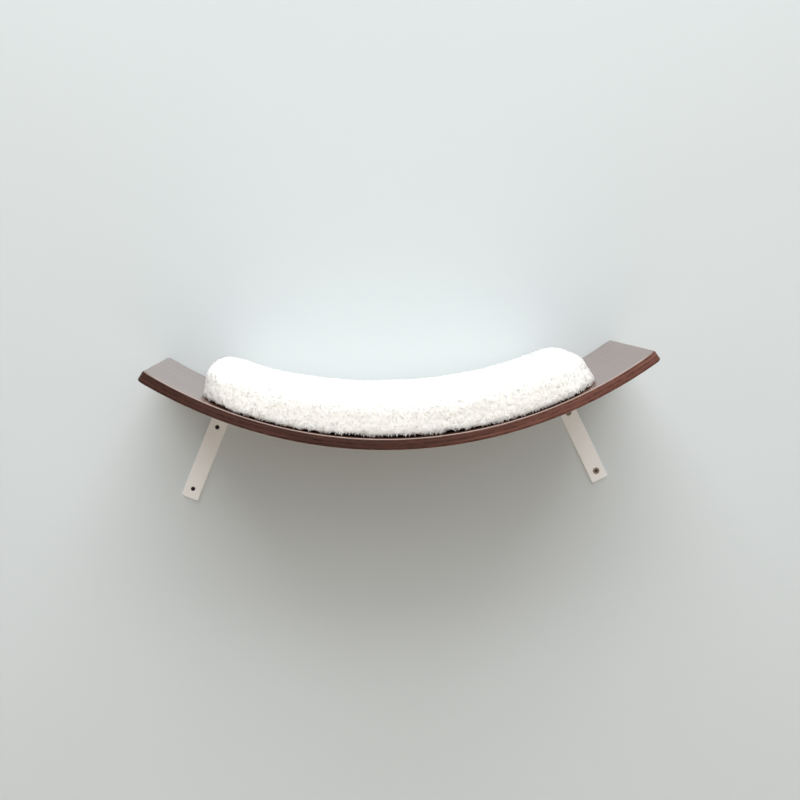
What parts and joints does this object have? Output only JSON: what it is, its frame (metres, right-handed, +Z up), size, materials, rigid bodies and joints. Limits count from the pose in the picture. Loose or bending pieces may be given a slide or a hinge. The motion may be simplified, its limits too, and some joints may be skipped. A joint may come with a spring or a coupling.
{
  "type": "wall-mounted cat perch",
  "caption": "Wall-mounted cat perch: a bent plywood shelf, curved up at both ends, on flat-bar brackets, with a thick lift-off plush pad held by hook and loop tape.",
  "frame": {"origin": "on the wall plane, midway between the two upper wall screws", "axes": "+X to the viewer's right along the shelf, +Y into the wall, +Z up; the shelf reaches from the wall towards -Y"},
  "size_m": [0.6482, 0.2983, 0.2097],
  "materials": {
    "walnut_veneer": "satin lacquer over dark walnut grain",
    "core_ply_long": "dark stained long-grain ply edge, satin",
    "core_ply_cross": "dark stained cross-grain ply edge, satin",
    "powder_coat": "fine-textured off-white powder coat",
    "zinc_screw": "zinc plated",
    "hook_tape": "black hook tape",
    "loop_tape": "black loop tape",
    "base_cloth": "dark non-slip woven cloth",
    "foam": "open-cell foam",
    "plush": "white curly fleece"
  },
  "bodies": {
    "shelf": {"top_veneer": "walnut_veneer", "core_ply_1": "core_ply_cross", "core_ply_2": "core_ply_long", "core_ply_3": "core_ply_cross", "core_ply_4": "core_ply_long", "core_ply_5": "core_ply_cross", "bottom_veneer": "walnut_veneer", "left_bracket": "powder_coat", "right_bracket": "powder_coat", "left_shelf_screws": "zinc_screw", "right_shelf_screws": "zinc_screw", "left_wall_screws": "zinc_screw", "right_wall_screws": "zinc_screw", "hook_strip_left": "hook_tape", "hook_strip_middle": "hook_tape", "hook_strip_right": "hook_tape"},
    "pad": {"plush_cover": "plush", "foam_core": "foam", "base_cloth": "base_cloth", "loop_strip_left": "loop_tape", "loop_strip_middle": "loop_tape", "loop_strip_right": "loop_tape"}
  },
  "joints": [
    {"name": "pad_lift", "type": "slide", "parent": "shelf", "child": "pad", "axis": [0, 0, 1], "range_m": [0, 0.15]}
  ]
}
